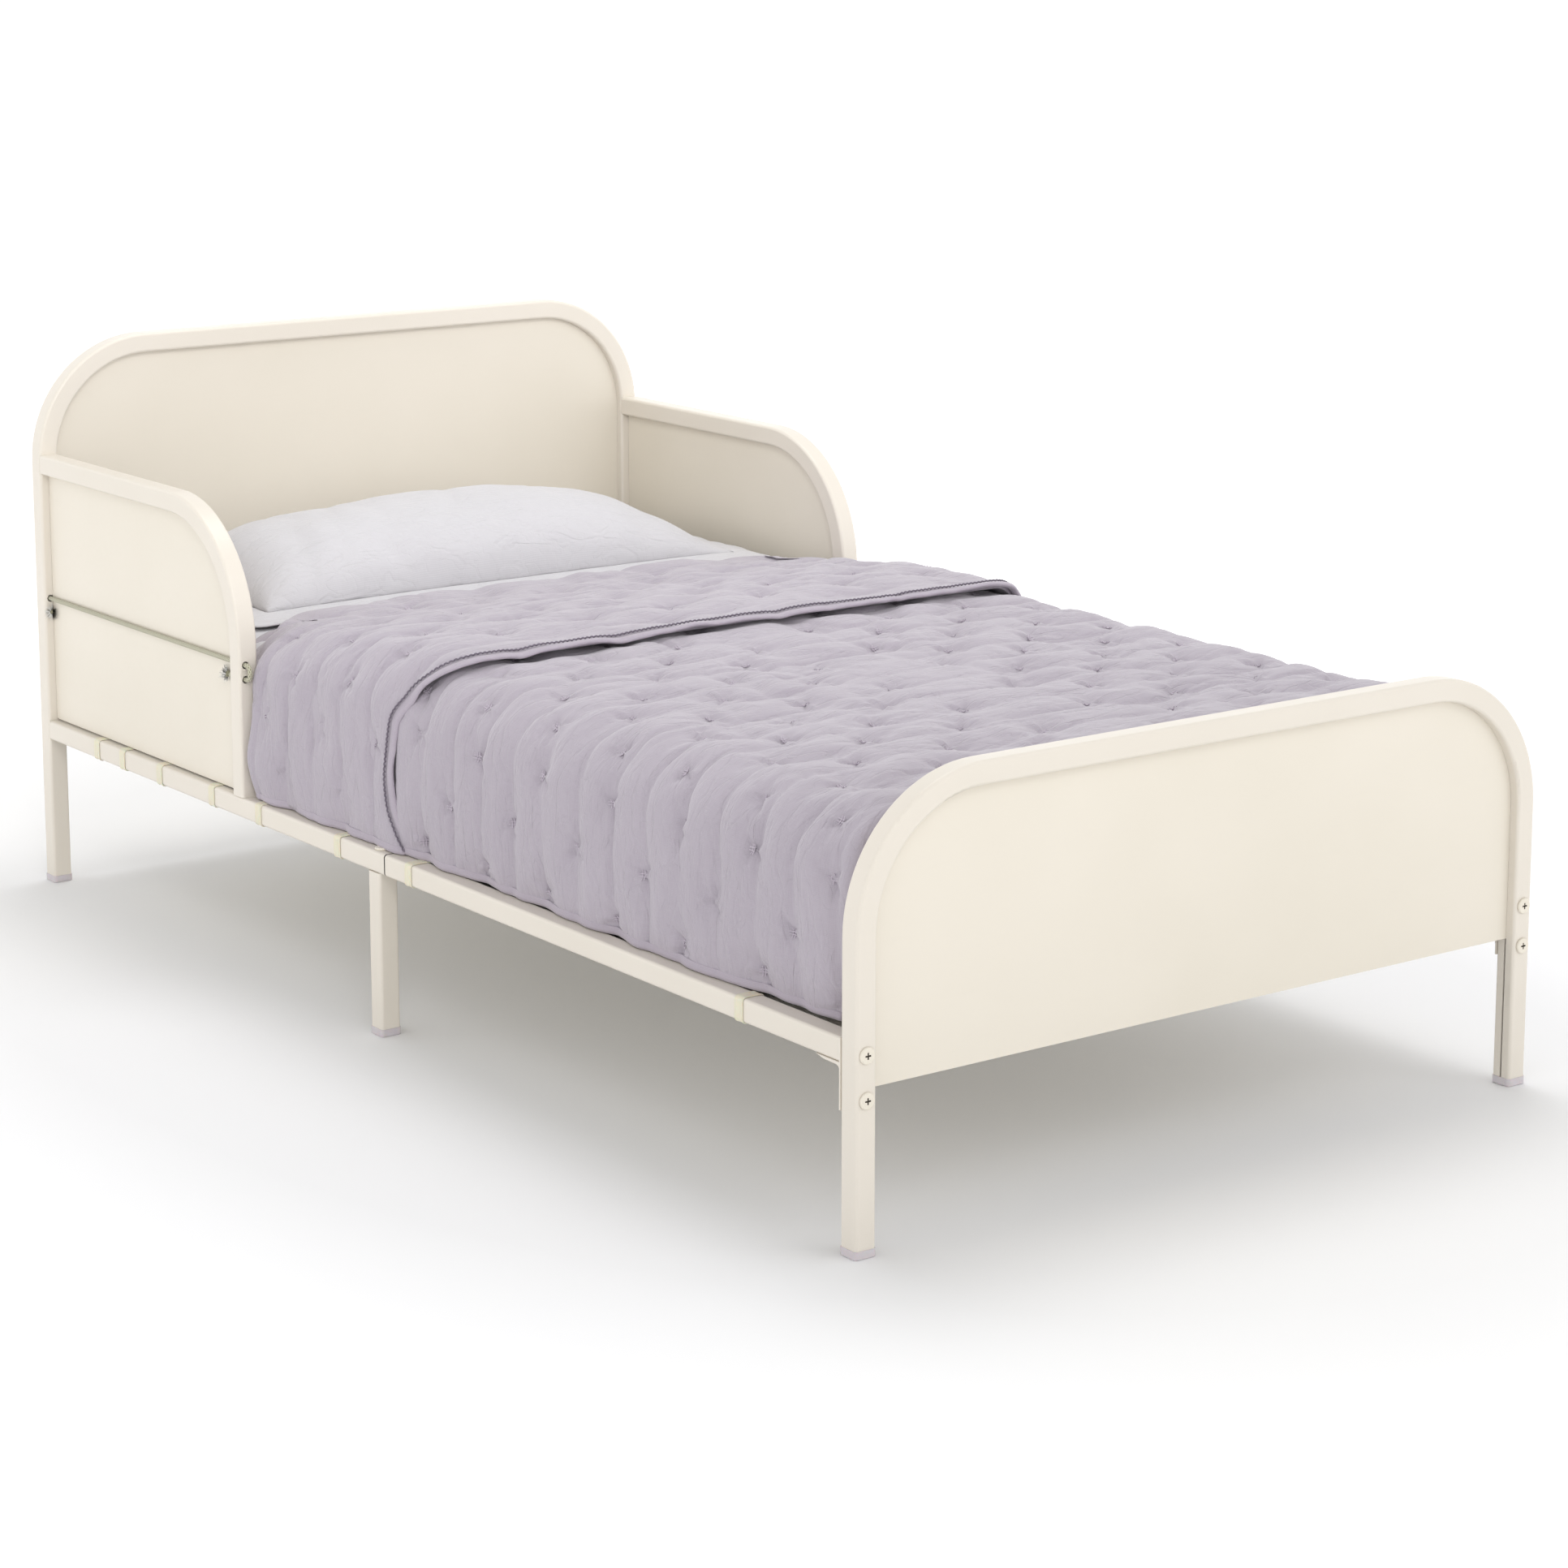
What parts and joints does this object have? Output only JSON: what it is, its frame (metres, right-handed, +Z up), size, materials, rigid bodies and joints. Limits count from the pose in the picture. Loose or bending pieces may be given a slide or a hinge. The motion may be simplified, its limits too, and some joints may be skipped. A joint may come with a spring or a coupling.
{
  "type": "toddler bed",
  "caption": "Low steel toddler bed with rounded sheet-filled ends, short guards at the head, legs under the rails, and a mattress, tufted quilt and pillow.",
  "frame": {"origin": "on the floor under the middle of the bed", "axes": "+Z up, +Y towards the headboard, +X to the right-hand side seen from the foot"},
  "size_m": [0.7424, 1.4044, 0.57],
  "materials": {
    "frame_coat": "satin powder coat",
    "panel_coat": "satin powder coat",
    "bolt_coat": "satin enamel",
    "slat_coat": "satin powder coat",
    "zinc_steel": "zinc plated",
    "cap_plastic": "translucent moulded plastic",
    "base_cloth": "plain woven",
    "loop_elastic": "woven elastic",
    "cord_elastic": "braided elastic cord",
    "cord_fibre": "frayed cord fibre",
    "mattress_cover": "quilted ticking",
    "sheet_cotton": "percale cotton",
    "quilt_cotton": "washed cotton",
    "pillow_cotton": "percale cotton"
  },
  "bodies": {
    "frame": {"base_fabric": "base_cloth", "bracket_nuts": "zinc_steel", "cross_slat_1": "slat_coat", "cross_slat_2": "slat_coat", "cross_slat_3": "slat_coat", "cross_slat_4": "slat_coat", "cross_slat_5": "slat_coat", "footboard_bolts": "bolt_coat", "footboard_frame": "frame_coat", "footboard_panel": "panel_coat", "headboard_bolts": "bolt_coat", "headboard_frame": "frame_coat", "headboard_panel": "panel_coat", "left_cord_ends": "cord_fibre", "left_foot_foot_cap": "cap_plastic", "left_foot_rail": "frame_coat", "left_foot_rail_bracket": "frame_coat", "left_guard_cord": "cord_elastic", "left_guard_frame": "frame_coat", "left_guard_panel": "panel_coat", "left_head_foot_cap": "cap_plastic", "left_head_rail": "frame_coat", "left_head_rail_bracket": "frame_coat", "left_joint_sleeve": "zinc_steel", "left_mid_foot_cap": "cap_plastic", "left_mid_leg": "frame_coat", "left_rail_loops": "loop_elastic", "mid_leg_bolts": "bolt_coat", "mid_leg_nuts": "zinc_steel", "right_cord_ends": "cord_fibre", "right_foot_foot_cap": "cap_plastic", "right_foot_rail": "frame_coat", "right_foot_rail_bracket": "frame_coat", "right_guard_cord": "cord_elastic", "right_guard_frame": "frame_coat", "right_guard_panel": "panel_coat", "right_head_foot_cap": "cap_plastic", "right_head_rail": "frame_coat", "right_head_rail_bracket": "frame_coat", "right_joint_sleeve": "zinc_steel", "right_mid_foot_cap": "cap_plastic", "right_mid_leg": "frame_coat", "right_rail_loops": "loop_elastic"},
    "mattress": {"mattress": "mattress_cover", "fitted_sheet": "sheet_cotton"},
    "quilt": {"quilt": "quilt_cotton"},
    "pillow": {"pillow": "pillow_cotton"}
  },
  "joints": [
    {"name": "mattress_lift", "type": "slide", "parent": "frame", "child": "mattress", "axis": [0, 0, 1], "range_m": [0, 0.42]},
    {"name": "quilt_lift", "type": "slide", "parent": "mattress", "child": "quilt", "axis": [0, 0, 1], "range_m": [0, 0.2]},
    {"name": "pillow_lift", "type": "slide", "parent": "mattress", "child": "pillow", "axis": [0, 0, 1], "range_m": [0, 0.25]}
  ]
}
